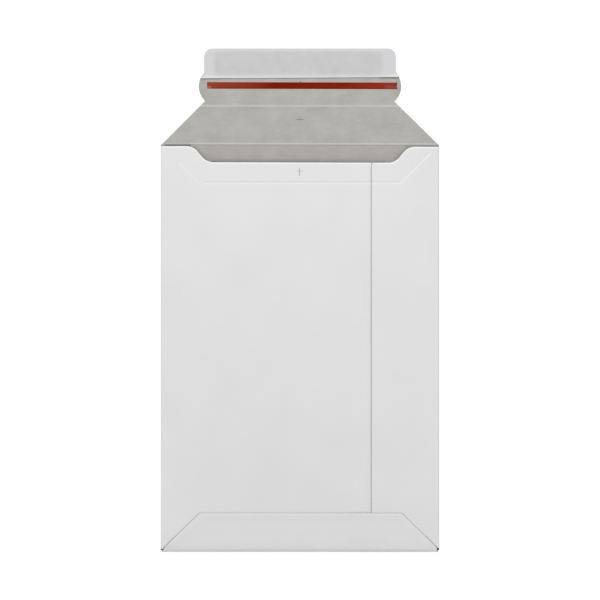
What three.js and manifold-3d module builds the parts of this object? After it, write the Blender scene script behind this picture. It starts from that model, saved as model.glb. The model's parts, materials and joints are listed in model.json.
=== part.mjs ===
// A solid-board mailing envelope lying on its front panel, with the closing flap folded open.
// X runs across the envelope, Y from the foot to the closing flap, and Z up from the front panel.
import * as THREE from "three";
import { mergeVertices } from "three/addons/utils/BufferGeometryUtils.js";
import Module from "manifold-3d";

// Thicknesses and the spaces between layers, in millimetres.
const BOARD = 0.6;
const FOLD_GAP = 0.7;
const LAP_GAP = 0.1;
const TAPE = 0.1;
const ADHESIVE = 0.15;
const LINER = 0.1;

// Body: the blank folded at both sides and at the foot.
const BODY_WIDTH = 240;
const BODY_HEIGHT = 351;
const RIGHT_PANEL = 58.3;
const LAP = 20;
const MOUTH_SETBACK = 1.9;
const CORNER_RELIEF = 2.2;
const CREASE_OFFSET = 32.9;
const FOOT_FLAP = 33.3;

// The back springs up from the front, as an arch from side fold to side fold that is pinched at the foot.
const SPRING = 4.2;
const ARCH_POWER = 3;
const PINCH_POWER = 4;

// Thumb notch in the mouth edge of the back.
const NOTCH_DEPTH = 13.7;
const NOTCH_SHOULDER = 33.4;
const NOTCH_RADIUS = 13;
const NOTCH_SLOPE = THREE.MathUtils.degToRad(50);

// Pressed crease lines: a groove outside, and a bead on the other face.
const CREASE_INSET = 4.5;
const CREASE_WIDTH = 1.3;
const CREASE_DEPTH = 0.2;

// Closing flap, measured from the fold.
const FLAP_LENGTH = 83;
const FLAP_RELIEF = 0.4;
const TAB_HALF = 82.8;
const TAB_RADIUS = 7.5;
const GRIP_OVERHANG = 4.3;
const GRIP_HALF = TAB_HALF + GRIP_OVERHANG;
const GRIP_RADIUS = 17.2;
const GRIP_CENTRE = 50.3;
const GRIP_FILLET = 3;
const HINGE_GAP = 0.3;

// Films on the inside of the closing flap.
const TAPE_WIDTH = 5.6;
const TAPE_RAISE = 0.65;
const TAPE_LEFT_INSET = 7;
const TAPE_RIGHT_INSET = 3;
const TAPE_TOP = GRIP_CENTRE + TAPE_RAISE + TAPE_WIDTH / 2;
const LINER_GAP = 3.85;
const LINER_WIDTH = FLAP_LENGTH - TAPE_TOP - LINER_GAP;
const ADHESIVE_LEFT_MARGIN = 9.5;
const ADHESIVE_RIGHT_MARGIN = 12;
const ADHESIVE_TOP_MARGIN = 3.4;
const ADHESIVE_FOOT_MARGIN = 3.8;
const ADHESIVE_RADIUS = 4;

// Fineness of the curved surfaces.
const PANEL_STEP = 15;
const BODY_STEPS = 18;
const ARC_SEGMENTS = 3;
const OUTLINE_SEGMENTS = 8;

const clamp = THREE.MathUtils.clamp;
const half = BODY_WIDTH / 2;
const foldY = BODY_HEIGHT / 2;
const footY = -BODY_HEIGHT / 2;
const mouthY = foldY - MOUTH_SETBACK;
const notchY = mouthY - NOTCH_DEPTH;

// Heights of the layers as they lie pressed flat.
const backIn = BOARD + FOLD_GAP;
const backOut = backIn + BOARD;
const lapLift = BOARD + LAP_GAP;
const footIn = backOut + LAP_GAP;
const footOut = footIn + BOARD;
const sideFold = backOut / 2;
const footFold = footOut / 2;
const panelEnd = half - sideFold;
const seamX = half - RIGHT_PANEL;
const lapEndX = seamX + LAP;
const lapSlopeX = lapEndX + BOARD;
const cornerX = half - CORNER_RELIEF;

const wasm = await Module();
wasm.setup();

function solidOf(geometry) {
  const bare = geometry.index ? geometry.toNonIndexed() : geometry.clone();
  bare.deleteAttribute("normal");
  bare.deleteAttribute("uv");
  const welded = mergeVertices(bare, 1e-5);
  const mesh = new wasm.Mesh({
    numProp: 3,
    vertProperties: new Float32Array(welded.getAttribute("position").array),
    triVerts: new Uint32Array(welded.index.array),
  });
  mesh.merge();
  return new wasm.Manifold(mesh);
}

function geometryOf(solid) {
  const mesh = solid.getMesh();
  const geometry = new THREE.BufferGeometry();
  geometry.setAttribute("position", new THREE.BufferAttribute(mesh.vertProperties, 3));
  geometry.setIndex(new THREE.BufferAttribute(mesh.triVerts, 1));
  geometry.computeVertexNormals();
  return geometry;
}

// A flat outline in X and Y, raised from one height to another.
function plate(outline, fromZ, toZ) {
  const geometry = new THREE.ExtrudeGeometry(outline, {
    depth: toZ - fromZ,
    bevelEnabled: false,
    curveSegments: OUTLINE_SEGMENTS,
  });
  return geometry.translate(0, 0, fromZ);
}

function rectangle(left, foot, right, top) {
  const outline = new THREE.Shape();
  outline.moveTo(left, foot);
  outline.lineTo(right, foot);
  outline.lineTo(right, top);
  outline.lineTo(left, top);
  return outline;
}

// Adds a straight run with points close enough together to follow the arch of the back.
function runTo(path, x, z) {
  const start = path.currentPoint.clone();
  const end = new THREE.Vector2(x, z);
  const pieces = Math.max(1, Math.round(start.distanceTo(end) / PANEL_STEP));
  for (let i = 1; i <= pieces; i++) {
    const point = start.clone().lerp(end, i / pieces);
    path.lineTo(point.x, point.y);
  }
}

// Height by which the back stands above its pressed level.
function springAt(x, y) {
  const across = Math.min(1, Math.abs(x) / half);
  const down = clamp((foldY - y) / BODY_HEIGHT, 0, 1);
  return SPRING * (1 - across ** ARCH_POWER) * (1 - down ** PINCH_POWER);
}

// Lifts every layer above the pocket with the arch of the back. The front panel stays flat.
function springOpen(geometry) {
  const position = geometry.getAttribute("position");
  for (let i = 0; i < position.count; i++) {
    const z = position.getZ(i);
    const share = clamp((z - BOARD) / FOLD_GAP, 0, 1);
    position.setZ(i, z + share * springAt(position.getX(i), position.getY(i)));
  }
  return geometry;
}

// Height of the right panel above the left one's level: full over the lap, falling to nothing at its fold.
function rightLift(x) {
  return lapLift * clamp((panelEnd - x) / (panelEnd - lapSlopeX), 0, 1);
}

// The bottom flap rides over the lap too, and comes down to the left panel beside the seam.
function footLift(x) {
  const ramp = clamp((x - (seamX - LAP)) / (LAP / 2), 0, 1);
  return rightLift(x) * ramp;
}

function liftBy(geometry, lift) {
  const position = geometry.getAttribute("position");
  for (let i = 0; i < position.count; i++) {
    const z = position.getZ(i);
    const share = clamp((z - BOARD) / (footIn - BOARD), 0, 1);
    position.setZ(i, z + share * lift(position.getX(i)));
  }
  return geometry;
}

// The wrapped board: left panel, front panel and right panel as one open ribbon, drawn across the envelope.
function wrapSection() {
  const up = Math.PI / 2;
  const down = -Math.PI / 2;
  const section = new THREE.Shape();
  section.moveTo(lapEndX, backOut);
  runTo(section, -panelEnd, backOut);
  section.absarc(-panelEnd, sideFold, sideFold, up, up + Math.PI, false);
  section.lineTo(panelEnd, 0);
  section.absarc(panelEnd, sideFold, sideFold, down, up, false);
  runTo(section, lapSlopeX, backOut + lapLift);
  runTo(section, seamX, backOut + lapLift);
  section.lineTo(seamX, backIn + lapLift);
  runTo(section, lapSlopeX, backIn + lapLift);
  runTo(section, panelEnd, backIn);
  section.absarc(panelEnd, sideFold, FOLD_GAP / 2, up, down, true);
  section.lineTo(-panelEnd, BOARD);
  section.absarc(-panelEnd, sideFold, FOLD_GAP / 2, up + Math.PI, up, true);
  runTo(section, lapEndX, backIn);
  return section;
}

// A section drawn in X and Z, run along Y from its top end.
function alongY(section, topY, length, steps) {
  const geometry = new THREE.ExtrudeGeometry(section, {
    depth: length,
    steps,
    bevelEnabled: false,
    curveSegments: ARC_SEGMENTS,
  });
  geometry.rotateX(Math.PI / 2);
  return geometry.translate(0, topY, 0);
}

// A section drawn in Y and Z, run along X from left to right.
function alongX(section, left, right) {
  const geometry = new THREE.ExtrudeGeometry(section, {
    depth: right - left,
    steps: Math.ceil((right - left) / (PANEL_STEP / 2)),
    bevelEnabled: false,
    curveSegments: ARC_SEGMENTS,
  });
  const xAxis = new THREE.Vector3(1, 0, 0);
  const yAxis = new THREE.Vector3(0, 1, 0);
  const zAxis = new THREE.Vector3(0, 0, 1);
  geometry.applyMatrix4(new THREE.Matrix4().makeBasis(yAxis, zAxis, xAxis));
  return geometry.translate(left, 0, 0);
}

// The foot: the front panel's lower end turned up in one fold over the back.
function footSection() {
  const centre = footY + footFold;
  const top = footY + FOOT_FLAP;
  const section = new THREE.Shape();
  section.moveTo(footY + FOOT_FLAP / 2, 0);
  section.lineTo(footY + FOOT_FLAP / 2, BOARD);
  section.lineTo(centre, BOARD);
  section.absarc(centre, footFold, footFold - BOARD, -Math.PI / 2, Math.PI / 2, true);
  runTo(section, top, footIn);
  section.lineTo(top, footOut);
  runTo(section, centre, footOut);
  section.absarc(centre, footFold, footFold, Math.PI / 2, 1.5 * Math.PI, false);
  return section;
}

// The outline that the turned-up foot is cut to: a trapezoid with 45 degree ends.
function footOutline() {
  const outline = new THREE.Shape();
  outline.moveTo(-cornerX, footY - footFold);
  outline.lineTo(cornerX, footY - footFold);
  outline.lineTo(cornerX, footY + CORNER_RELIEF);
  outline.lineTo(half - FOOT_FLAP, footY + FOOT_FLAP);
  outline.lineTo(half - FOOT_FLAP, footY + 2 * FOOT_FLAP);
  outline.lineTo(FOOT_FLAP - half, footY + 2 * FOOT_FLAP);
  outline.lineTo(FOOT_FLAP - half, footY + FOOT_FLAP);
  outline.lineTo(-cornerX, footY + CORNER_RELIEF);
  return outline;
}

// The thumb notch: a flat foot between two S-shaped ends, open at the mouth edge.
function notchOutline() {
  const turn = 1 - Math.cos(NOTCH_SLOPE);
  const radius = Math.min(NOTCH_RADIUS, NOTCH_DEPTH / (2 * turn));
  const straight = NOTCH_DEPTH - 2 * radius * turn;
  const reach = 2 * radius * Math.sin(NOTCH_SLOPE) + straight / Math.tan(NOTCH_SLOPE);
  const outer = half - NOTCH_SHOULDER + reach / 2;
  const inner = outer - reach;
  const up = Math.PI / 2;
  const outline = new THREE.Shape();
  outline.moveTo(outer, foldY);
  outline.lineTo(-outer, foldY);
  outline.lineTo(-outer, mouthY);
  outline.absarc(-outer, mouthY - radius, radius, up, up - NOTCH_SLOPE, true);
  outline.absarc(-inner, notchY + radius, radius, 3 * up - NOTCH_SLOPE, 3 * up, false);
  outline.absarc(inner, notchY + radius, radius, 3 * up, 3 * up + NOTCH_SLOPE, false);
  outline.absarc(outer, mouthY - radius, radius, up + NOTCH_SLOPE, up, true);
  return outline;
}

// A bar with a V-shaped foot along one crease line, at the height of the face that it is pressed into.
function creaseBar(from, to, faceZ, steps) {
  const outline = new THREE.Shape();
  outline.moveTo(-CREASE_WIDTH, CREASE_DEPTH);
  outline.lineTo(0, -CREASE_DEPTH);
  outline.lineTo(CREASE_WIDTH, CREASE_DEPTH);
  const start = new THREE.Vector3(from.x, from.y, faceZ);
  const along = new THREE.Vector3(to.x - from.x, to.y - from.y, 0);
  const geometry = new THREE.ExtrudeGeometry(outline, {
    depth: along.length(),
    steps,
    bevelEnabled: false,
  });
  const up = new THREE.Vector3(0, 0, 1);
  along.normalize();
  const side = new THREE.Vector3().crossVectors(up, along);
  const place = new THREE.Matrix4().makeBasis(side, up, along).setPosition(start);
  return geometry.applyMatrix4(place);
}

function makeBody() {
  const wrapFoot = footY + CORNER_RELIEF;
  const wrap = alongY(wrapSection(), mouthY, mouthY - wrapFoot, BODY_STEPS);
  let body = solidOf(springOpen(wrap));

  const topEdge = rectangle(-half, mouthY - BOARD, half, foldY - HINGE_GAP / 2);
  body = body.add(solidOf(plate(topEdge, 0, BOARD)));
  const footEdge = rectangle(-panelEnd, footY + BOARD, panelEnd, wrapFoot + BOARD);
  body = body.add(solidOf(plate(footEdge, 0, BOARD)));

  const foot = springOpen(liftBy(alongX(footSection(), -half, half), footLift));
  const footCut = solidOf(plate(footOutline(), -BOARD, footOut + lapLift + SPRING));
  body = body.add(solidOf(foot).intersect(footCut));

  // Two glue ribs bind the lapped seam and the bottom flap.
  const seamGlue = new THREE.Shape();
  seamGlue.moveTo(seamX + LAP / 4, backOut - LAP_GAP);
  runTo(seamGlue, lapEndX - LAP / 4, backOut - LAP_GAP);
  seamGlue.lineTo(lapEndX - LAP / 4, backOut + 2 * LAP_GAP);
  runTo(seamGlue, seamX + LAP / 4, backOut + 2 * LAP_GAP);
  const seamTop = notchY - LAP / 2;
  const seamRun = seamTop - (footY + FOOT_FLAP);
  body = body.add(solidOf(springOpen(alongY(seamGlue, seamTop, seamRun, BODY_STEPS))));
  const footGlue = rectangle(footY + FOOT_FLAP / 3, backOut - LAP_GAP,
    footY + FOOT_FLAP * 2 / 3, footIn + LAP_GAP);
  const glueReach = half - FOOT_FLAP;
  body = body.add(solidOf(springOpen(liftBy(alongX(footGlue, -glueReach, seamX - LAP), footLift))));
  body = body.add(solidOf(springOpen(liftBy(alongX(footGlue, seamX + LAP / 4, glueReach), footLift))));

  // The notch goes through the back only.
  const notchFloor = BOARD + FOLD_GAP / 2;
  const notch = plate(notchOutline(), notchFloor, backOut + lapLift + SPRING + BOARD);
  body = body.subtract(solidOf(notch));

  // Crease lines on the back: one across, and one from each end of it to the mouth corner.
  const creaseY = foldY - CREASE_OFFSET;
  const creaseX = half - CREASE_OFFSET;
  const left = { x: -creaseX, y: creaseY };
  const right = { x: creaseX, y: creaseY };
  const seam = { x: seamX, y: creaseY };
  const leftCorner = { x: CREASE_INSET - half, y: foldY - CREASE_INSET };
  const rightCorner = { x: half - CREASE_INSET, y: foldY - CREASE_INSET };
  const onLeft = [[left, seam, BODY_STEPS], [leftCorner, left, 4]];
  for (const [from, to, steps] of onLeft) {
    body = body.subtract(solidOf(springOpen(creaseBar(from, to, backOut, steps))));
  }
  const overSeam = { x: seamX - BOARD, y: creaseY };
  const onRight = [[overSeam, right, 4], [right, rightCorner, 4]];
  for (const [from, to, steps] of onRight) {
    const bar = liftBy(creaseBar(from, to, backOut, steps), rightLift);
    body = body.subtract(solidOf(springOpen(bar)));
  }
  return geometryOf(body);
}

// Right-hand edge of the closing flap, from the fold to the middle of its free end.
function flapEdge() {
  const topY = foldY + FLAP_LENGTH;
  const radius = GRIP_RADIUS;
  const centreX = GRIP_HALF - radius;
  const centreY = foldY + GRIP_CENTRE;
  // The 45 degree side meets the circle of the grip at the neck.
  const run = half - FLAP_RELIEF - centreX;
  const neck = (run + GRIP_CENTRE) / 2 - Math.sqrt(radius ** 2 / 2 - (run - GRIP_CENTRE) ** 2 / 4);
  const reachX = TAB_HALF + GRIP_FILLET - centreX;
  const reachY = Math.sqrt((radius + GRIP_FILLET) ** 2 - reachX ** 2);
  const tangent = Math.atan2(reachY, reachX);
  const filletX = centreX + reachX;
  const filletY = centreY + reachY;
  const corner = TAB_RADIUS;
  const edge = new THREE.Path();
  edge.moveTo(half - FLAP_RELIEF - HINGE_GAP / 2, foldY + HINGE_GAP / 2);
  edge.lineTo(centreX + run - neck, foldY + neck);
  edge.absarc(centreX, centreY, radius, Math.atan2(neck - GRIP_CENTRE, run - neck), tangent, false);
  edge.absarc(filletX, filletY, GRIP_FILLET, tangent + Math.PI, Math.PI, true);
  edge.absarc(TAB_HALF - corner, topY - corner, corner, 0, Math.PI / 2, false);
  return edge.getPoints(OUTLINE_SEGMENTS);
}

function flapOutline() {
  const right = flapEdge();
  const left = right.map((point) => new THREE.Vector2(-point.x, point.y)).reverse();
  return new THREE.Shape([...right, ...left]);
}

// The flap has one crease across it: a groove in the outside, and a bead on the inside.
function makeFlap() {
  const creaseY = foldY + CREASE_OFFSET;
  const reach = half - FLAP_RELIEF - CREASE_OFFSET;
  const outside = creaseBar({ x: reach, y: creaseY }, { x: -reach, y: creaseY }, 0, 1);
  outside.rotateZ(Math.PI);
  outside.rotateX(Math.PI);
  const bead = new THREE.Shape();
  bead.moveTo(creaseY - CREASE_WIDTH / 2, BOARD / 2);
  bead.lineTo(creaseY + CREASE_WIDTH / 2, BOARD / 2);
  bead.lineTo(creaseY + CREASE_WIDTH / 2, BOARD);
  bead.quadraticCurveTo(creaseY, BOARD + 2 * CREASE_DEPTH, creaseY - CREASE_WIDTH / 2, BOARD);
  const beadReach = reach - CREASE_WIDTH;
  let flap = solidOf(plate(flapOutline(), 0, BOARD));
  flap = flap.subtract(solidOf(outside));
  flap = flap.add(solidOf(alongX(bead, -beadReach, beadReach)));
  return geometryOf(flap);
}

function makeTape() {
  const top = foldY + TAPE_TOP;
  const left = TAPE_LEFT_INSET - GRIP_HALF;
  const right = GRIP_HALF - TAPE_RIGHT_INSET;
  const outline = rectangle(left, top - TAPE_WIDTH, right, top);
  return plate(outline, BOARD, BOARD + TAPE);
}

function makeAdhesive() {
  const left = ADHESIVE_LEFT_MARGIN - TAB_HALF;
  const right = TAB_HALF - ADHESIVE_RIGHT_MARGIN;
  const top = foldY + FLAP_LENGTH - ADHESIVE_TOP_MARGIN;
  const foot = foldY + FLAP_LENGTH - LINER_WIDTH + ADHESIVE_FOOT_MARGIN;
  const radius = Math.min(ADHESIVE_RADIUS, (top - foot) / 2);
  const up = Math.PI / 2;
  const outline = new THREE.Shape();
  outline.absarc(right - radius, foot + radius, radius, -up, 0, false);
  outline.absarc(right - radius, top - radius, radius, 0, up, false);
  outline.absarc(left + radius, top - radius, radius, up, 2 * up, false);
  outline.absarc(left + radius, foot + radius, radius, 2 * up, 3 * up, false);
  return plate(outline, BOARD, BOARD + ADHESIVE);
}

// The liner lies on the adhesive and shares the outline of the flap's end.
function makeLiner() {
  const under = BOARD + ADHESIVE;
  const top = foldY + FLAP_LENGTH;
  const band = rectangle(-half, top - LINER_WIDTH, half, top + LINER_WIDTH);
  const sheet = solidOf(plate(flapOutline(), under, under + LINER));
  return geometryOf(sheet.intersect(solidOf(plate(band, BOARD, under + 2 * LINER))));
}

const whiteBoard = new THREE.MeshStandardMaterial({ color: 0xe2e2e1, roughness: 0.75 });
const greyBoard = new THREE.MeshStandardMaterial({ color: 0xb4b2ae, roughness: 0.9 });
const redFilm = new THREE.MeshStandardMaterial({ color: 0x862410, roughness: 0.35 });
const clearAdhesive = new THREE.MeshStandardMaterial({ color: 0xc9c9ca, roughness: 0.4 });
const linerPaper = new THREE.MeshStandardMaterial({ color: 0xd5d4d8, roughness: 0.55 });

function piece(name, geometry, material) {
  const mesh = new THREE.Mesh(geometry, material);
  mesh.name = name;
  return mesh;
}

const flap = new THREE.Group();
flap.name = "flap";
flap.add(piece("closing_flap", makeFlap(), greyBoard));
flap.add(piece("tear_tape", makeTape(), redFilm));
flap.add(piece("adhesive_strip", makeAdhesive(), clearAdhesive));
flap.add(piece("release_liner", makeLiner(), linerPaper));

const envelope = new THREE.Group();
envelope.name = "cardboard_envelope";
envelope.add(piece("envelope_body", makeBody(), whiteBoard));
envelope.add(flap);

export default envelope;
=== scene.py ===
import json
import math

import bpy
import numpy as np
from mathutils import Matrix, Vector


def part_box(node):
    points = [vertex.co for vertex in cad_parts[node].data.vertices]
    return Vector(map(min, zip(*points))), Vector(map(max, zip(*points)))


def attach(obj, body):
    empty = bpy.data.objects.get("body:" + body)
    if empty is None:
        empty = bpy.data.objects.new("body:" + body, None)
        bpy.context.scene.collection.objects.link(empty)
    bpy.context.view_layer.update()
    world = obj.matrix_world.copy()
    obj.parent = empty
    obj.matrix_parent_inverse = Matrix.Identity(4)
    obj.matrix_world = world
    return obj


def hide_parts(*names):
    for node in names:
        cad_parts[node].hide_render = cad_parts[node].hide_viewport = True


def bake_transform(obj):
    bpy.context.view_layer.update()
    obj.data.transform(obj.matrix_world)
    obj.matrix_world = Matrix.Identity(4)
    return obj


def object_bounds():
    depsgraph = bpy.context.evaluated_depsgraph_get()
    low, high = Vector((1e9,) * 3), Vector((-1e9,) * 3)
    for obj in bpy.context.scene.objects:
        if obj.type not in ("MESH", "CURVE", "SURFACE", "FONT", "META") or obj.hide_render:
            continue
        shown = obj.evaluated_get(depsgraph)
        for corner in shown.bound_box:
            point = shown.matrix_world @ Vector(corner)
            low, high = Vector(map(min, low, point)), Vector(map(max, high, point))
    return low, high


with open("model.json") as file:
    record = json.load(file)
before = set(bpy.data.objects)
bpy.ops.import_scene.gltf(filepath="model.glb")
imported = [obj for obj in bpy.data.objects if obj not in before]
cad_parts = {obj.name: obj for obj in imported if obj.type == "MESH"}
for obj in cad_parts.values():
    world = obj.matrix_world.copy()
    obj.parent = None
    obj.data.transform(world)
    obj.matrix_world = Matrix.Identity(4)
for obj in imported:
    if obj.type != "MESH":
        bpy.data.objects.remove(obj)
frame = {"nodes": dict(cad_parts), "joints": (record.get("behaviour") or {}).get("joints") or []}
cad_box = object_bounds()

# The envelope is one die-cut blank of solid board, white outside and grey inside. The side panels are folded
# over the front and glued in a lapped seam, the foot is turned up over them, and the closing flap is free.
half_width = cad_box[1].x
foot_y = cad_box[0].y
flap_top = cad_box[1].y
fold_y = frame["joints"][0]["pos_m"][1]
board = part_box("tear_tape")[0].z
fold_gap = 0.0007
lap_gap = 0.0001
back_z = 2 * board + fold_gap
lap_lift = board + lap_gap
foot_z = back_z + lap_lift
side_r = back_z / 2
foot_r = foot_z / 2
panel_x = half_width - side_r
right_panel = 0.0583
seam_x = half_width - right_panel
seam_corner = 0.0016
lap = 0.020
lap_x = seam_x + lap
mouth_setback = 0.0017
mouth_y = fold_y - mouth_setback
notch_depth = 0.01396
notch_y = mouth_y - notch_depth
crease = 0.0329
crease_x = half_width - crease
crease_y = fold_y - crease
foot_flap = 0.0333
corner_relief = {-1: 0.0027, 1: 0.0021}
end_spare = {-1: 0.0007, 1: 0.00175}
end_slope = 1.034


def smooth(value, low, high):
    """A soft step: 0 below low, 1 above high, with level ends."""
    t = np.clip((value - low) / (high - low), 0.0, 1.0)
    return t * t * (3.0 - 2.0 * t)


def bell(distance, width):
    """A bell-shaped swelling: 1 at no distance, falling to about a third at one width."""
    return np.exp(-((distance / width) ** 2))


def stations(*stretches):
    """Positions along a line, from stretches given as start, end and number of spaces."""
    parts = [np.linspace(start, end, count, endpoint=False) for start, end, count in stretches]
    return np.append(np.concatenate(parts), stretches[-1][1])


def circle_height(radius, offset):
    """Height of a circle above its centre, at an offset to the side of it."""
    return np.sqrt(np.maximum(radius**2 - offset**2, 0.0))


# Shape of the mouth, which was cut a trifle out of level.
notch_radius = 0.0130
notch_slope = math.radians(50)
left_shoulder = 0.03375
right_shoulder = 0.0325
mouth_tilt = 0.0030


def mouth_edge(x):
    """Height in Y of the mouth edge: level shoulders, an S-curve of two arcs on each side and a flat notch,
    all tilted by a small slope."""
    run = notch_radius * math.sin(notch_slope)
    drop = notch_radius * (1 - math.cos(notch_slope))
    straight = (mouth_y - notch_y) - 2 * drop
    reach = 2 * run + straight / math.tan(notch_slope)
    outer = half_width - np.where(x > 0, right_shoulder, left_shoulder) + reach / 2
    inner = outer - reach
    place = np.abs(x)
    upper = mouth_y - notch_radius + circle_height(notch_radius, outer - place)
    lower = notch_y + notch_radius - circle_height(notch_radius, place - inner)
    ramp = notch_y + drop + (place - inner - run) * math.tan(notch_slope)
    edge = np.where(place > outer - run, upper, ramp)
    edge = np.where(place < inner + run, lower, edge)
    edge = np.where(place >= outer, mouth_y, edge)
    edge = np.where(place <= inner, notch_y, edge)
    return edge - mouth_tilt * x


# Outline of the closing flap, from its fold to the end of the tab. Its right side was cut a trifle short.
flap_relief = {-1: 0.0004, 1: 0.00066}
side_slope = {-1: 1.0, 1: 1.016}
tab_half = 0.0828
tab_radius = 0.0075
grip_radius = 0.0172
grip_half = 0.0873
grip_x = grip_half - grip_radius
grip_rise = 0.0503
grip_y = fold_y + grip_rise
grip_fillet = 0.003
side_run = half_width - flap_relief[-1] - grip_x
neck_drop = math.sqrt(grip_radius**2 / 2 - (side_run - grip_rise) ** 2 / 4)
neck_y = fold_y + (side_run + grip_rise) / 2 - neck_drop


def flap_half(y, side):
    """Width of the closing flap on one side at a height: a slanting edge up to the circle of the grip, a
    small hollow fillet above it, and a straight tab with a round corner."""
    reach_x = tab_half + grip_fillet - grip_x
    reach_y = math.sqrt((grip_radius + grip_fillet) ** 2 - reach_x**2)
    fillet_y = grip_y + reach_y
    join_y = grip_y + reach_y * grip_radius / (grip_radius + grip_fillet)
    corner_y = flap_top - tab_radius
    grip = grip_x + circle_height(grip_radius, y - grip_y)
    hollow = tab_half + grip_fillet - circle_height(grip_fillet, y - fillet_y)
    rounded = tab_half - tab_radius + circle_height(tab_radius, y - corner_y)
    slanting = half_width - flap_relief[side] - side_slope[side] * (y - fold_y)
    width = np.where(y > join_y, hollow, np.maximum(slanting, grip))
    width = np.where(y > fillet_y, tab_half, width)
    return np.where(y > corner_y, rounded, width)


def corner_rows(count):
    """Heights down the round corner of the tab, from its end, at even turns of the arc."""
    turn = np.linspace(math.pi / 2, 0.0, count)
    return flap_top - tab_radius * (1.0 - np.sin(turn))


def spring(x, y):
    """Rise of the back above its pressed level: an arch of the third power across, which falls with the
    fourth power of the way down to nothing at the foot."""
    rise = 0.0042
    across = np.minimum(np.abs(x) / half_width, 1.0)
    down = np.clip((fold_y - y) / (fold_y - foot_y), 0.0, 1.0)
    return rise * (1.0 - across**3) * (1.0 - down**4)


def right_lift(x):
    """Rise of the right panel over the left one: full on the lap, falling evenly to nothing at its fold."""
    return lap_lift * np.clip((panel_x - x) / (panel_x - lap_x - board), 0.0, 1.0)


def foot_droop(x, y):
    """Drop of the layers at the foot, where the fold presses them down: a long sag that grows with the square
    of the nearness, and a short soft step, both fading out beside the side folds."""
    rise = y - foot_y
    long_drop, long_end = 0.00038, 0.0160
    short_drop, short_end = 0.00022, 0.0028
    side_fade = 0.006
    drop = long_drop * np.clip((long_end - rise) / (long_end - foot_r), 0.0, 1.0) ** 2
    drop = drop + short_drop * (1.0 - smooth(rise, foot_r, short_end))
    return drop * smooth(panel_x - np.abs(x), 0.0, side_fade)


def line_distance(x, y, start, end):
    """Distance of each point from the straight line between two points."""
    along_x, along_y = end[0] - start[0], end[1] - start[1]
    share = ((x - start[0]) * along_x + (y - start[1]) * along_y) / (along_x**2 + along_y**2)
    share = np.clip(share, 0.0, 1.0)
    return np.hypot(x - start[0] - share * along_x, y - start[1] - share * along_y)


def back_grooves(x, y):
    """Depth pressed into the back by its crease lines: the deepest of three bell-shaped grooves, one across
    and a fainter one along each diagonal, which fades out before the mouth corner."""
    width, across_depth, left_depth, right_depth = 0.0009, 0.00017, 0.00004, 0.00005
    left_fade, right_fade, faint_start = 0.003, 0.007, 0.005
    across_start = (-crease_x + faint_start, crease_y)
    left_start, right_start = (-crease_x, crease_y), (crease_x, crease_y)
    left_end = (-half_width + left_fade, fold_y - left_fade)
    right_end = (half_width - right_fade, fold_y - right_fade)
    grooves = ((across_start, right_start, across_depth), (left_start, left_end, left_depth),
               (right_start, right_end, right_depth))
    deepest = 0.0 * x
    for start, end, depth in grooves:
        deepest = np.maximum(deepest, depth * bell(line_distance(x, y, start, end), width))
    return deepest


# Places of the beads along the crease and the fold of the closing flap.
bead_rise = 0.0324
bead_y = fold_y + bead_rise
bead_tilt = 0.0012
fold_offset = 0.0002
fold_tilt = 0.0024


def flap_beads(x, y):
    """Beads raised on the inside of the closing flap: one along its crease and one along its fold, both a
    trifle out of level, with nothing below the mouth."""
    crease_height, crease_width = 0.00015, 0.0008
    fold_height, fold_width, mouth_fade = 0.00018, 0.0006, 0.0006
    bead = crease_height * bell(y - bead_y + bead_tilt * x, crease_width)
    bead = bead + fold_height * bell(y - fold_y - fold_offset + fold_tilt * x, fold_width)
    return bead * smooth(y, mouth_y, mouth_y + mouth_fade)


def foot_wear(y, to_end):
    """Height change along the cut edge of the bottom flap: the edge stands off, and its very corner is worn
    round. It is measured from the long edge, or from the slanting end if that is nearer."""
    lift, lift_width = 0.00030, 0.006
    wear, wear_width = 0.00016, 0.0008
    end_share, fade_start, fade_end = 0.7, 0.002, 0.006
    to_edge = np.minimum(foot_y + foot_flap - y, to_end * end_share)
    change = lift * bell(to_edge, lift_width) - wear * bell(to_edge, wear_width)
    return change * smooth(y - foot_y, fade_start, fade_end)


def grid_faces(rows, columns, start, flip):
    """Quads of a rows by columns grid whose points begin at a running number, turned over if flip is set."""
    index = start + np.arange(rows * columns).reshape(rows, columns)
    ring = [index[:-1, :-1], index[:-1, 1:], index[1:, 1:], index[1:, :-1]]
    if flip:
        ring.reverse()
    return np.stack(ring, axis=-1).reshape(-1, 4)


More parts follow.
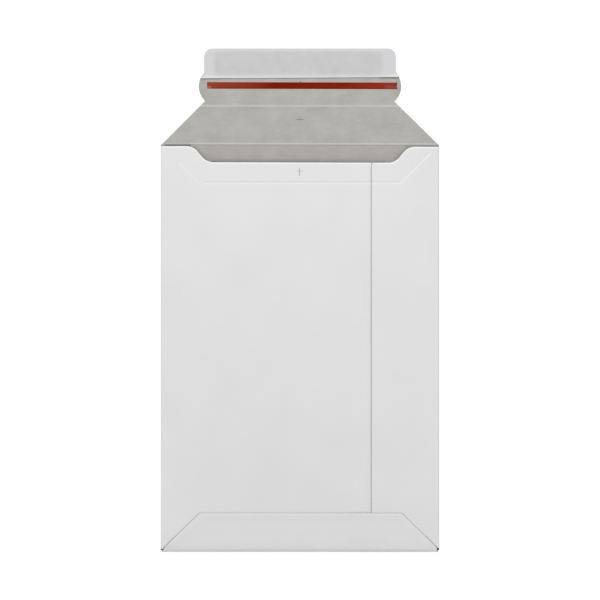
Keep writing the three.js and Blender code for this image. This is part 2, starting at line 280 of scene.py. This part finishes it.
def sheet_mesh(name, grids, thickness, lean=0.0):
    """A closed sheet from grids of its outer face: the inner face lies one thickness in along the normals,
    and a wall closes every free edge. Walls on the back lean out at their foot, a little more on slanting
    cuts. Material 0 is the outside, 1 the inside and 2 the cut edge."""
    weld, tiny, slant_lean, sharp_angle = 1e-7, 1e-12, 0.8, math.radians(40)
    faces, start = [], 0
    for points, flip in grids:
        faces.append(grid_faces(points.shape[0], points.shape[1], start, flip))
        start += points.shape[0] * points.shape[1]
    points = np.concatenate([grid.reshape(-1, 3) for grid, flip in grids])
    cells = np.round(points / weld)
    first, inverse = np.unique(cells, axis=0, return_index=True, return_inverse=True)[1:]
    points = points[first]
    faces = inverse.reshape(-1)[np.concatenate(faces)]
    corner = points[faces]
    face_normal = np.cross(corner[:, 2] - corner[:, 0], corner[:, 3] - corner[:, 1])
    normal = np.zeros_like(points)
    for side in range(4):
        np.add.at(normal, faces[:, side], face_normal)
    normal /= np.linalg.norm(normal, axis=1, keepdims=True)
    inner = points - thickness * normal
    edges = np.stack([faces, np.roll(faces, -1, axis=1)], axis=-1).reshape(-1, 2)
    pairs = np.sort(edges, axis=1)
    index, count = np.unique(pairs, axis=0, return_index=True, return_counts=True)[1:]
    free = edges[index[count == 1]]
    outward = np.cross(points[free[:, 1]] - points[free[:, 0]], normal[free[:, 0]] + normal[free[:, 1]])
    push = np.zeros_like(points)
    np.add.at(push, free.ravel(), np.repeat(outward, 2, axis=0))
    push /= np.maximum(np.linalg.norm(push, axis=1, keepdims=True), tiny)
    slant = 1.0 + slant_lean * np.abs(push[:, :1] * push[:, 1:2])
    inner = inner + lean * slant * push * smooth(points[:, 2:], board, back_z)
    total = len(points)
    walls = np.stack([free[:, 1], free[:, 0], free[:, 0] + total, free[:, 1] + total], axis=-1)
    all_points = np.concatenate([points, inner])
    all_faces = np.concatenate([faces, faces[:, ::-1] + total, walls])
    mesh = bpy.data.meshes.new(name)
    mesh.from_pydata(all_points.tolist(), [], all_faces.tolist())
    kind = np.repeat([0, 1, 2], [len(faces), len(faces), len(walls)]).astype(np.int32)
    mesh.polygons.foreach_set("material_index", kind)
    mesh.polygons.foreach_set("use_smooth", np.ones(len(all_faces), dtype=bool))
    mesh.update()
    mesh.set_sharp_from_angle(angle=sharp_angle)
    rest = mesh.attributes.new("rest", "FLOAT_VECTOR", "POINT")
    rest.data.foreach_set("vector", all_points.astype(np.float32).ravel())
    piece = bpy.data.objects.new(name, mesh)
    bpy.context.scene.collection.objects.link(piece)
    return piece


# Rows along the body, close together at the foot, at the crease and under the mouth edge. Below bend_y they
# are level, and above it they bend more and more to follow the notch.
arc_y = foot_y + foot_r
flat_y = foot_y + 0.0041
droop_y = foot_y + 0.010
groove_reach = 0.0026
bend_y = 0.150
groove_low, groove_high = crease_y - groove_reach, crease_y + groove_reach
low_rows = stations((arc_y, flat_y, 1), (flat_y, droop_y, 4), (droop_y, groove_low, 46),
                    (groove_low, groove_high, 24), (groove_high, bend_y, 8))
dense_share = 0.86
top_share = stations((0.0, dense_share, 24), (dense_share, 1.0, 10))[1:]
body_rows = np.append(low_rows, bend_y + top_share * (mouth_y - bend_y))


def back_panel(side, outward, lift):
    """One back panel with its fold, as distances outward on its side: a half turn up from the front's edge,
    then the panel at its own height, lowered along its creases and rounded off at its mouth edge. The right
    panel has a round corner where the seam meets the mouth, and a raised lip along the seam, which is
    pressed flat under the bottom flap."""
    mouth_round, mouth_round_width, round_fade = 0.00036, 0.0008, 0.005
    lip, lip_width, lip_fade = 0.0003, 0.0020, 0.006
    foot_cut = {-1: 0.0012, 1: 0.0019}
    turn = np.linspace(0.0, math.pi, 11)
    out = np.append(panel_x + side_r * np.sin(turn), outward[1:])
    base_z = np.append(side_r * (1.0 - np.cos(turn)), np.full(outward.size - 1, back_z))
    share = base_z / back_z
    top = mouth_y + share * (mouth_edge(side * out) - mouth_y)
    if side > 0:
        to_corner = np.maximum(seam_x + seam_corner - out, 0.0)
        top = top - seam_corner + circle_height(seam_corner, to_corner)
    y = np.concatenate([low_rows[:, None] + 0.0 * out, bend_y + top_share[:, None] * (top - bend_y)])
    y[0] = arc_y + foot_cut[side] * smooth(share, 0.0, 1.0)
    x = np.broadcast_to(side * out, y.shape)
    z = base_z + share * (spring(x, y) + lift(x) - foot_droop(x, y))
    near_edge = mouth_round * bell(top - y, mouth_round_width)
    if side > 0:
        flap_edge = foot_y + foot_flap
        near_edge = near_edge * smooth(x, seam_x, seam_x + round_fade)
        z = z + lip * bell(x - seam_x, lip_width) * smooth(y, flap_edge, flap_edge + lip_fade)
    z = z - share**2 * (back_grooves(x, y) + near_edge)
    return np.stack([x, y, z], axis=-1)


def spine():
    """The straight run of the blank: closing flap, front panel, the half turn of the foot, the bottom flap.
    Each row is a line across with its own width on each side, at a height for its part of the run. The beads,
    the droop and the wear of the bottom flap are added, and it rides up over the lap beside the seam."""
    bead_reach, fold_reach, grip_reach = 0.0024, 0.0021, 0.031
    mouth_gap, end_start, end_dense, edge_dense = 0.0002, 0.0032, 0.009, 0.024
    fold_cut, cut_start, cut_end = {-1: 0.0004, 1: 0.0008}, 0.8, 2.2
    inner_share, flat_share = 0.93, 0.999
    corner = corner_rows(9)
    flap_y = stations((corner[-1], bead_y + grip_reach, 8), (bead_y + grip_reach, neck_y, 50),
                      (neck_y, bead_y + bead_reach, 6), (bead_y + bead_reach, bead_y - bead_reach, 24),
                      (bead_y - bead_reach, fold_y + fold_reach, 14),
                      (fold_y + fold_reach, mouth_y + mouth_gap, 28))
    front_y = np.concatenate([corner[:-1], flap_y, body_rows[::-1]])
    turn = np.linspace(0.0, math.pi, 13)[1:]
    foot_rise = stations((foot_r, end_start, 3), (end_start, end_dense, 8), (end_dense, edge_dense, 6),
                         (edge_dense, foot_flap, 12))[1:]
    halves = []
    for side in (-1, 1):
        front_half = np.where(front_y > fold_y, flap_half(front_y, side), half_width)
        front_half = np.where(front_y <= mouth_y, panel_x, front_half)
        turn_half = panel_x - fold_cut[side] * smooth(turn, cut_start, cut_end)
        foot_half = half_width - np.maximum(end_slope * foot_rise - end_spare[side], corner_relief[side])
        halves.append(np.concatenate([front_half, turn_half, foot_half])[:, None])
    y = np.concatenate([front_y, arc_y - foot_r * np.sin(turn), foot_y + foot_rise])[:, None]
    base_z = np.concatenate([0.0 * front_y, foot_r * (1.0 - np.cos(turn)), np.full(foot_rise.size, foot_z)])
    across = stations((-1.0, -inner_share, 8), (-inner_share, inner_share, 48), (inner_share, 1.0, 8))
    half = np.where(across < 0.0, halves[0], halves[1])
    x = half * across
    y = np.broadcast_to(y, x.shape)
    over_lap = right_lift(x) * np.clip((x - seam_x + lap) / (lap / 2), 0.0, 1.0)
    share = (base_z / foot_z)[:, None]
    turned_up = share > flat_share
    z = base_z[:, None] + flap_beads(x, y) + share * (spring(x, y) + over_lap - foot_droop(x, y))
    z = z + turned_up * foot_wear(y, half - np.abs(x))
    return np.stack([x, y, z], axis=-1)


# Columns across the panels, close together where the S-curves of the mouth are.
curve_x = 0.0735
left_out = stations((panel_x, curve_x, 70), (curve_x, -seam_x, 34), (-seam_x, -lap_x, 16))
right_out = stations((panel_x, curve_x, 70), (curve_x, seam_x + seam_corner, 5),
                     (seam_x + seam_corner, seam_x, 8))
wall_lean = 0.00034
grids = [(spine(), False), (back_panel(-1, left_out, np.zeros_like), False),
         (back_panel(1, right_out, right_lift), True)]
blank = sheet_mesh("board_blank", grids, board, wall_lean)


class Finish:
    """A procedural finish. Its patterns are drawn on the resting place of each point of the piece, so that
    they stay where they are when the flap turns."""

    def __init__(self, name, roughness, specular):
        self.material = bpy.data.materials.new(name)
        self.material.use_nodes = True
        self.nodes = self.material.node_tree.nodes
        self.links = self.material.node_tree.links
        self.shader = self.nodes["Principled BSDF"]
        self.shader.inputs["Roughness"].default_value = roughness
        self.shader.inputs["Specular IOR Level"].default_value = specular
        resting = self.nodes.new("ShaderNodeAttribute")
        resting.attribute_name = "rest"
        self.place = resting.outputs["Vector"]

    def noise(self, scale, detail, stretch=(1.0, 1.0, 1.0)):
        """Noise from 0 to 1, with its grains drawn out along an axis by a small stretch value."""
        mapping = self.nodes.new("ShaderNodeMapping")
        mapping.inputs["Scale"].default_value = stretch
        self.links.new(self.place, mapping.inputs["Vector"])
        grain = self.nodes.new("ShaderNodeTexNoise")
        grain.inputs["Scale"].default_value = scale
        grain.inputs["Detail"].default_value = detail
        self.links.new(mapping.outputs["Vector"], grain.inputs["Vector"])
        return grain.outputs["Fac"]

    def spread(self, value, low, high, to_low=0.0, to_high=1.0):
        """Maps a value from low..high to another range, held at its ends."""
        node = self.nodes.new("ShaderNodeMapRange")
        limits = {"From Min": low, "From Max": high, "To Min": to_low, "To Max": to_high}
        for socket, number in limits.items():
            node.inputs[socket].default_value = number
        self.links.new(value, node.inputs["Value"])
        return node.outputs["Result"]

    def patch(self, centre, size, softness, weight=1.0, radius=0.0, turn=0.0, levels=(-1.0, 1.0)):
        """A weight inside a rectangle and 0 outside, with soft edges and round corners: a ramp on the
        distance from the rectangle drawn in by its corner radius. The rectangle may be turned about its
        centre, and only the layers between two levels take it."""
        middle = (centre[0], centre[1], (levels[0] + levels[1]) / 2)
        inset = (size[0] / 2 - radius, size[1] / 2 - radius, (levels[1] - levels[0]) / 2)
        place = self.place
        if turn:
            turned = self.nodes.new("ShaderNodeVectorRotate")
            turned.rotation_type = "Z_AXIS"
            turned.inputs["Center"].default_value = middle
            turned.inputs["Angle"].default_value = -turn
            self.links.new(place, turned.inputs["Vector"])
            place = turned.outputs["Vector"]
        steps = (("SUBTRACT", middle), ("ABSOLUTE", None), ("SUBTRACT", inset), ("MAXIMUM", (0.0, 0.0, 0.0)))
        for operation, other in steps:
            step = self.nodes.new("ShaderNodeVectorMath")
            step.operation = operation
            self.links.new(place, step.inputs[0])
            if other:
                step.inputs[1].default_value = other
            place = step.outputs["Vector"]
        away = self.nodes.new("ShaderNodeVectorMath")
        away.operation = "LENGTH"
        self.links.new(place, away.inputs[0])
        return self.spread(away.outputs["Value"], radius, radius + softness, weight, 0.0)

    def tint(self, base, other, share):
        """A colour that goes from base to other as share goes from 0 to 1. Each is a colour or a socket."""
        mix = self.nodes.new("ShaderNodeMix")
        mix.data_type = "RGBA"
        self.links.new(share, mix.inputs["Factor"])
        base_socket, other_socket, result = mix.inputs[6], mix.inputs[7], mix.outputs[2]
        for socket, colour in ((base_socket, base), (other_socket, other)):
            if isinstance(colour, bpy.types.NodeSocket):
                self.links.new(colour, socket)
            else:
                socket.default_value = (*colour, 1.0)
        return result

    def paint(self, colour):
        """Gives the shader its colour."""
        self.links.new(colour, self.shader.inputs["Base Color"])

    def relief(self, height, distance, strength):
        """Fine relief on the surface from a height pattern."""
        bump = self.nodes.new("ShaderNodeBump")
        bump.inputs["Distance"].default_value = distance
        bump.inputs["Strength"].default_value = strength
        self.links.new(height, bump.inputs["Height"])
        self.links.new(bump.outputs["Normal"], self.shader.inputs["Normal"])


# White outside: a smooth coated ply with very faint cloudiness and a fine tooth, a painted highlight along
# its two diagonal creases, painted shade along its right fold and a painted shadow beside the ends of the
# bottom flap. A thin register cross is printed under the notch.
white = Finish("white_board", roughness=0.62, specular=0.35)
plain_white, cloudy_white = (0.763, 0.763, 0.764), (0.789, 0.789, 0.790)
tooth_white, crease_highlight_white = (0.745, 0.745, 0.745), (0.845, 0.845, 0.842)
fold_shade_white, end_shadow_white = (0.58, 0.58, 0.58), (0.45, 0.45, 0.45)
cloud = white.noise(scale=22.0, detail=3.0)
tooth = white.noise(scale=1500.0, detail=2.0)
colour = white.tint(plain_white, cloudy_white, white.spread(cloud, low=0.3, high=0.7))
colour = white.tint(colour, tooth_white, white.spread(tooth, low=0.45, high=0.75, to_high=0.25))
# Marks on the back take only its own layers, so that the front's outside below them stays bare.
on_back = (back_z - board, 1.0)
diagonal = math.radians(45)
# Painted highlight: a paler line along each diagonal crease, where the light catches it.
crease_highlight_width, crease_highlight_softness = 0.0010, 0.0009
for side, length, weight in ((-1, 0.024, 0.40), (1, 0.036, 0.75)):
    run = length / 2 * math.cos(diagonal)
    middle = (side * (crease_x + run), crease_y + run)
    size = (length, crease_highlight_width)
    crease_highlight = white.patch(middle, size, crease_highlight_softness, weight, turn=side * diagonal, levels=on_back)
    colour = white.tint(colour, crease_highlight_white, crease_highlight)
# Painted shade: a grey line along the right fold.
fold_shade_size = (0.0010, 2 * fold_y)
fold_shade = white.patch((half_width, 0.0), fold_shade_size, softness=0.0006, weight=0.34)
colour = white.tint(colour, fold_shade_white, fold_shade)
# Painted shadow: a grey strip on the back beside the lower part of each slanting end of the bottom flap.
beside_end, end_shadow_rise, end_shadow_size = 0.0004, 0.0086, (0.0134, 0.0006)
for side in (-1, 1):
    end_x = half_width + end_spare[side] + beside_end - end_slope * end_shadow_rise
    middle = (side * end_x, foot_y + end_shadow_rise)
    turn = -side * diagonal
    near_edge = white.patch(middle, end_shadow_size, softness=0.0007, weight=0.35, turn=turn, levels=on_back)
    colour = white.tint(colour, end_shadow_white, near_edge)
ink_softness = 0.00015
cross_y = fold_y - 0.0238
white_cross = {
    "upright": ((-0.0004, cross_y), (0.0005, 0.0062), (0.26, 0.28, 0.27), 0.85),
    "arms": ((0.0, cross_y + 0.0008), (0.0066, 0.0004), (0.40, 0.42, 0.41), 0.5),
}
for centre, size, ink, weight in white_cross.values():
    colour = white.tint(colour, ink, white.patch(centre, size, ink_softness, weight, levels=on_back))
white.paint(colour)
white.relief(tooth, distance=0.00002, strength=0.25)

# Grey inside: uncoated recycled fibre, with short light and dark fibres, flecks and a cloudy formation. It
# has a painted highlight on the crests of the beads, a browner painted shade inside the pocket, and painted
# shade and shadow where edges overhang it and in the foot corners.
grey = Finish("grey_board", roughness=0.88, specular=0.25)
dark_grey, light_grey, crest_highlight_grey = (0.412, 0.403, 0.375), (0.472, 0.463, 0.434), (0.525, 0.515, 0.485)
pale_fibre, dark_streak, dark_fleck = (0.55, 0.54, 0.52), (0.385, 0.377, 0.350), (0.26, 0.25, 0.24)
dark_pocket_shade, light_pocket_shade, painted_shade_grey = (0.380, 0.356, 0.322), (0.420, 0.396, 0.362), (0.195, 0.186, 0.172)
short_grain, along_grain = (0.30, 1.0, 1.0), (0.12, 1.0, 1.0)
cloud = grey.noise(scale=60.0, detail=4.0)
fibre = grey.noise(scale=700.0, detail=3.0, stretch=short_grain)
streak = grey.noise(scale=300.0, detail=2.0, stretch=along_grain)
fleck = grey.noise(scale=1300.0, detail=1.0)
clouded = grey.spread(cloud, low=0.3, high=0.7)
colour = grey.tint(dark_grey, light_grey, clouded)
colour = grey.tint(colour, pale_fibre, grey.spread(fibre, low=0.55, high=0.75, to_high=0.35))
colour = grey.tint(colour, dark_streak, grey.spread(streak, low=0.5, high=0.75, to_high=0.30))
colour = grey.tint(colour, dark_fleck, grey.spread(fleck, low=0.68, high=0.78, to_high=0.35))
# Painted highlight: a paler band on the lit upper side of the crease bead and of the fold bead.
crest_highlight_softness, crest_highlight_weight = 0.0006, 0.75
crest_highlights = {
    "crease": ((0.0, bead_y + 0.0010), (2 * half_width, 0.0009), -bead_tilt),
    "fold": ((0.011, fold_y + fold_offset + 0.0006), (0.212, 0.0008), -fold_tilt),
}
for centre, size, turn in crest_highlights.values():
    crest_highlight = grey.patch(centre, size, crest_highlight_softness, crest_highlight_weight, turn=turn)
    colour = grey.tint(colour, crest_highlight_grey, crest_highlight)
# Painted shade: the inside of the pocket is painted darker and browner, for the light lost and tinted between
# its grey boards.
pocket_fade = 0.001
pocket_size = (2 * half_width, 2 * fold_y - pocket_fade)
pocket_shade_brown = grey.tint(dark_pocket_shade, light_pocket_shade, clouded)
pocket_shade = grey.patch((0.0, 0.0), pocket_size, pocket_fade, weight=0.5)
colour = grey.tint(colour, pocket_shade_brown, pocket_shade)
liner_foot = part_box("release_liner")[0].y
# Painted shade and shadow: darker strips beside the mouth's shoulders and notch, under the liner's lifted
# foot and the tape, and round the grips.
shade_strips = {
    "left shoulder": ((-0.1055, fold_y - 0.0012), (0.022, 0.0017), 0.0008, 0.98),
    "right shoulder": ((0.107, fold_y - 0.0015), (0.032, 0.0006), 0.0010, 0.22),
    "left foot of the notch": ((-0.030, notch_y), (0.090, 0.0022), 0.0026, 0.42),
    "right foot of the notch": ((0.045, notch_y), (0.056, 0.0020), 0.0024, 0.26),
    "under the liner's left end": ((-0.074, liner_foot - 0.00055), (0.030, 0.0004), 0.0003, 1.0),
    "under the liner's right end": ((0.077, liner_foot + 0.0002), (0.018, 0.0008), 0.0008, 0.68),
    "under the tape": ((-0.034, grip_y - 0.0031), (0.056, 0.0006), 0.0006, 0.16),
    "left grip": ((-0.0845, grip_y), (0.004, 0.024), 0.0040, 0.13),
    "right grip": ((0.0865, grip_y), (0.004, 0.024), 0.0040, 0.13),
}
for centre, size, softness, weight in shade_strips.values():
    colour = grey.tint(colour, painted_shade_grey, grey.patch(centre, size, softness, weight))
# Painted shade: near black in the small holes at the two foot corners.
dark_corner, corner_softness, corner_shade = (0.003, 0.004), 0.0012, (0.02, 0.02, 0.019)
corner_inset, corner_rise = 0.0012, 0.0018
corner_places = [(side * (half_width - corner_inset), foot_y + corner_rise) for side in (-1, 1)]
for place in corner_places:
    colour = grey.tint(colour, corner_shade, grey.patch(place, dark_corner, corner_softness))
# Painted shade under each S-curve of the mouth.
curve_turn, curve_size, curve_softness = math.radians(48), (0.017, 0.0022), 0.0012
for side, shoulder, weight in ((-1, left_shoulder, 0.36), (1, right_shoulder, 0.20)):
    middle = (side * (half_width - shoulder), (mouth_y + notch_y) / 2)
    curve_shade = grey.patch(middle, curve_size, curve_softness, weight, turn=side * curve_turn)
    colour = grey.tint(colour, painted_shade_grey, curve_shade)
cross_y = fold_y + 0.0217
grey_marks = {
    "arms of the cross": ((0.0, cross_y), (0.0060, 0.0006), (0.16, 0.16, 0.15), 0.75),
    "upright of the cross": ((-0.0002, cross_y), (0.0005, 0.0062), (0.24, 0.24, 0.23), 0.45),
    "tick at the tape": ((0.0003, fold_y + 0.0542), (0.0005, 0.0014), (0.09, 0.09, 0.09), 0.95),
}
for centre, size, ink, weight in grey_marks.values():
    colour = grey.tint(colour, ink, grey.patch(centre, size, ink_softness, weight))
grey.paint(colour)
grey.relief(fibre, distance=0.00006, strength=0.4)

# Cut edge: the die leaves a slightly ragged edge that shows the grey core, with painted shade in the two
# foot corners.
cut = Finish("cut_edge", roughness=0.9, specular=0.5)
dark_core, light_core = (0.215, 0.211, 0.204), (0.335, 0.330, 0.320)
ragged = cut.noise(scale=900.0, detail=2.0)
colour = cut.tint(dark_core, light_core, ragged)
# The same painted shade in the two foot corners.
for place in corner_places:
    colour = cut.tint(colour, corner_shade, cut.patch(place, dark_corner, corner_softness))
cut.paint(colour)
for layer in (white, grey, cut):
    blank.data.materials.append(layer.material)
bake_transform(blank)
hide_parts("envelope_body", "closing_flap")

# The tear tape is a thin red film, heat-sealed across the tear band on the grey side of the flap. It is
# slightly crowned, its right end is drawn in between the corners, and near its lower corners it carries a
# painted highlight.
tape_low, tape_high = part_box("tear_tape")
tape_spare = 0.00005
tape_y = (tape_low.y + tape_high.y) / 2 - tape_spare
tape_half = (tape_high.y - tape_low.y) / 2 + tape_spare
tape_film, tape_crown, tape_tilt = 0.00004, 0.00012, 0.0026
right_tip, right_hollow = 0.0006, 0.0011


def tape_surface():
    """Grid of the film's upper face: straight lines from its right end, hollow by the sixth power, to its
    square left end, a crown of the fourth power across it, and along it a faint ripple, which is a short
    wave times a long one."""
    ripple_height, short_wave, long_wave, wave_shift = 0.000012, 310.0, 97.0, 1.0
    across = np.linspace(-1.0, 1.0, 13)[:, None]
    along = np.linspace(0.0, 1.0, 121)
    right = tape_high.x + right_tip - right_hollow * (1.0 - across**6)
    x = right + (tape_low.x - right) * along
    y = tape_y - tape_tilt * x + tape_half * across
    ripple = ripple_height * np.sin(x * short_wave) * np.cos(x * long_wave + wave_shift)
    z = board + tape_film + tape_crown * (1.0 - across**4) + ripple * (1.0 - across**2)
    return np.stack([x, y, z], axis=-1)


tape = sheet_mesh("tear_tape_film", [(tape_surface(), True)], tape_film)
red = Finish("red_film", roughness=0.34, specular=0.02)
deep_red, left_red, right_red = (0.205, 0.0105, 0.0008), (0.310, 0.050, 0.026), (0.300, 0.030, 0.014)
streak_red, blotch_red = (0.33, 0.045, 0.016), (0.17, 0.010, 0.001)
shaded_red, highlight_red = (0.15, 0.014, 0.005), (0.36, 0.18, 0.17)
left_start, left_full = -0.022, -0.074
right_start, right_full = 0.040, 0.074
streak = red.noise(scale=260.0, detail=3.0, stretch=along_grain)
blotch = red.noise(scale=30.0, detail=2.0)
axes = red.nodes.new("ShaderNodeSeparateXYZ")
red.links.new(red.place, axes.inputs["Vector"])
left_end = red.spread(axes.outputs["X"], left_start, left_full)
right_end = red.spread(axes.outputs["X"], right_start, right_full)
colour = red.tint(deep_red, left_red, left_end)
colour = red.tint(colour, right_red, right_end)
colour = red.tint(colour, streak_red, red.spread(streak, low=0.45, high=0.8, to_high=0.35))
colour = red.tint(colour, blotch_red, red.spread(blotch, low=0.4, high=0.75, to_high=0.25))
# Painted shade along the lower edge, and a painted highlight near each lower corner.
tape_marks = {
    "shaded lower edge": ((0.0, tape_y - 0.0026), (0.17, 0.0008), 0.0006, 0.5, shaded_red),
    "left scuff": ((-0.0790, tape_y - 0.0016), (0.0030, 0.0006), 0.0018, 0.65, highlight_red),
    "right scuff": ((0.0780, tape_y - 0.0016), (0.0070, 0.0004), 0.0026, 0.18, highlight_red),
}
for centre, size, softness, weight, mark in tape_marks.values():
    colour = red.tint(colour, mark, red.patch(centre, size, softness, weight))
red.paint(colour)
red.relief(streak, distance=0.00002, strength=0.3)
for face in ("upper", "under", "edge"):
    tape.data.materials.append(red.material)
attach(tape, "flap")
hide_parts("tear_tape")

# The adhesive is a clear, soft strip that is coated on to the tab and stays tacky under the liner. Its plain
# solid is right as it is, and only the liner over it shows where it lies.
glue = Finish("seal_adhesive", roughness=0.3, specular=0.5)
dark_glue, light_glue = (0.52, 0.51, 0.49), (0.58, 0.57, 0.56)
glue.place = glue.nodes.new("ShaderNodeTexCoord").outputs["Object"]
dimple = glue.noise(scale=400.0, detail=2.0)
glue.paint(glue.tint(dark_glue, light_glue, dimple))
glue.relief(dimple, distance=0.00003, strength=0.4)
adhesive = frame["nodes"]["adhesive_strip"]
adhesive.data.materials.clear()
adhesive.data.materials.append(glue.material)

# The release liner is white silicone paper over the adhesive, cut to the flap's outline. Where it is wetted
# by the adhesive it is a little darker, and along its free lower edge it lifts, most of all at the ends.
glue_low, glue_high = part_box("adhesive_strip")
liner_paper, liner_gap, liner_tilt = 0.00009, 0.00003, 0.0066


def liner_surface():
    """Grid of the paper's upper face: the flap's outline from its end down to a slightly tilted foot, raised
    by a soft step over the adhesive and by a bell along the foot that is higher at the ends."""
    step_height, step_reach = 0.00015, 0.0030
    foot_lift, end_lift, lift_width = 0.00036, 0.00026, 0.0020
    end_start, end_full = 0.060, 0.086
    tilt_start, tilt_full, inner_share = 0.010, 0.025, 0.985
    rows = np.concatenate([corner_rows(11)[:-1], stations((flap_top - tab_radius, liner_foot, 44))])[:, None]
    across = stations((-1.0, -inner_share, 1), (-inner_share, inner_share, 80), (inner_share, 1.0, 1))
    x = flap_half(rows, 1) * across
    y = rows + liner_tilt * x * smooth(flap_top - rows, tilt_start, tilt_full)
    over_x = smooth(np.minimum(x - glue_low.x, glue_high.x - x), -step_reach, 0.0)
    over_y = smooth(np.minimum(y - glue_low.y, glue_high.y - y), -step_reach, 0.0)
    lift = foot_lift + end_lift * smooth(np.abs(x), end_start, end_full)
    z = board + liner_gap + liner_paper + step_height * over_x * over_y
    z = z + lift * bell(y - liner_foot - liner_tilt * x, lift_width)
    return np.stack([x, y, z], axis=-1)


liner = sheet_mesh("release_liner_paper", [(liner_surface(), True)], liner_paper)
paper = Finish("liner_paper", roughness=0.5, specular=0.4)
dry_dark, dry_light = (0.610, 0.609, 0.620), (0.632, 0.631, 0.642)
wet_dark, wet_light = (0.535, 0.535, 0.536), (0.573, 0.573, 0.574)
cloud = paper.noise(scale=90.0, detail=3.0)
clouded = paper.spread(cloud, low=0.3, high=0.7)
wet_shift, wet_inset, wet_softness, wet_corner = 0.0004, 0.0012, 0.0032, 0.0025
wet_centre = ((glue_low.x + glue_high.x) / 2 - wet_shift, (glue_low.y + glue_high.y) / 2)
wet_size = (glue_high.x - glue_low.x - 2 * wet_inset, glue_high.y - glue_low.y - wet_inset)
wet = paper.patch(wet_centre, wet_size, wet_softness, radius=wet_corner)
dry_white = paper.tint(dry_dark, dry_light, clouded)
wet_white = paper.tint(wet_dark, wet_light, clouded)
paper.paint(paper.tint(dry_white, wet_white, wet))
paper.relief(cloud, distance=0.00004, strength=0.3)
for face in ("upper", "under", "edge"):
    liner.data.materials.append(paper.material)
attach(liner, "flap")
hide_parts("release_liner")

# The floor is a plain pale sheet under the envelope. A glow that lights nothing lifts it to full white for
# the camera, and the envelope's shadow stays on it.
floor_half, floor_grey, floor_glow = 3.0, (0.40, 0.40, 0.40, 1.0), 0.76
floor_corners = [(-floor_half, -floor_half, 0.0), (floor_half, -floor_half, 0.0),
                 (floor_half, floor_half, 0.0), (-floor_half, floor_half, 0.0)]
floor_mesh = bpy.data.meshes.new("floor")
floor_mesh.from_pydata(floor_corners, [], [(0, 1, 2, 3)])
floor = bpy.data.objects.new("floor", floor_mesh)
bpy.context.scene.collection.objects.link(floor)


def seen_directly(nodes, links):
    """1 for what the camera sees straight, in a gloss or through glass, 0 for light falling on the part."""
    path = nodes.new("ShaderNodeLightPath")
    seen = path.outputs["Is Camera Ray"]
    for other in ("Is Glossy Ray", "Is Transmission Ray"):
        either = nodes.new("ShaderNodeMath")
        either.operation = "MAXIMUM"
        links.new(seen, either.inputs[0])
        links.new(path.outputs[other], either.inputs[1])
        seen = either.outputs[0]
    return seen


floor_paint = Finish("floor_white", roughness=1.0, specular=0.0)
floor_paint.shader.inputs["Base Color"].default_value = floor_grey
floor_paint.shader.inputs["Emission Color"].default_value = (1.0, 1.0, 1.0, 1.0)
seen = seen_directly(floor_paint.nodes, floor_paint.links)
glow = floor_paint.spread(seen, low=0.0, high=1.0, to_high=floor_glow)
floor_paint.links.new(glow, floor_paint.shader.inputs["Emission Strength"])
floor_mesh.materials.append(floor_paint.material)

# Soft light: a surround that is brighter towards the flap's end and plain white to the camera, and one broad
# lamp on that side, aimed at the middle of the body, that models the creases.
middle_strength, strength_slope = 0.7175, 0.3585
world = bpy.data.worlds.new("surround")
world.use_nodes = True
nodes, links = world.node_tree.nodes, world.node_tree.links
direction = nodes.new("ShaderNodeSeparateXYZ")
links.new(nodes.new("ShaderNodeTexCoord").outputs["Generated"], direction.inputs["Vector"])
slope = nodes.new("ShaderNodeMath")
slope.operation = "MULTIPLY_ADD"
slope.inputs[1].default_value = strength_slope
slope.inputs[2].default_value = middle_strength
links.new(direction.outputs["Y"], slope.inputs[0])
strength = nodes.new("ShaderNodeMix")
strength.inputs["B"].default_value = 1.0
links.new(seen_directly(nodes, links), strength.inputs["Factor"])
links.new(slope.outputs["Value"], strength.inputs["A"])
nodes["Background"].inputs["Color"].default_value = (1.0, 1.0, 1.0, 1.0)
links.new(strength.outputs["Result"], nodes["Background"].inputs["Strength"])
bpy.context.scene.world = world
lamp_y, lamp_z = 1.40, 1.00
lamp = bpy.data.lights.new("top_lamp", "AREA")
lamp.shape = "RECTANGLE"
lamp.size = 1.6
lamp.size_y = 0.8
lamp.energy = 13.2
lamp_object = bpy.data.objects.new("top_lamp", lamp)
lamp_object.location = (0.0, lamp_y, lamp_z)
lamp_object.rotation_euler = (-math.atan2(lamp_y, lamp_z), 0.0, 0.0)
bpy.context.scene.collection.objects.link(lamp_object)

# The camera looks straight down on the middle of the envelope, from so far that its sides stay parallel.
view_width, view_distance, view_level = 0.5170, 2.6, 0.003
camera = bpy.data.cameras.new("camera")
camera.sensor_width = 36.0
camera.lens = camera.sensor_width * view_distance / view_width
camera_object = bpy.data.objects.new("camera", camera)
camera_object.location = (0.0, (foot_y + flap_top) / 2, view_level + view_distance)
bpy.context.scene.collection.objects.link(camera_object)
bpy.context.scene.camera = camera_object
bpy.context.scene.view_settings.view_transform = "Standard"
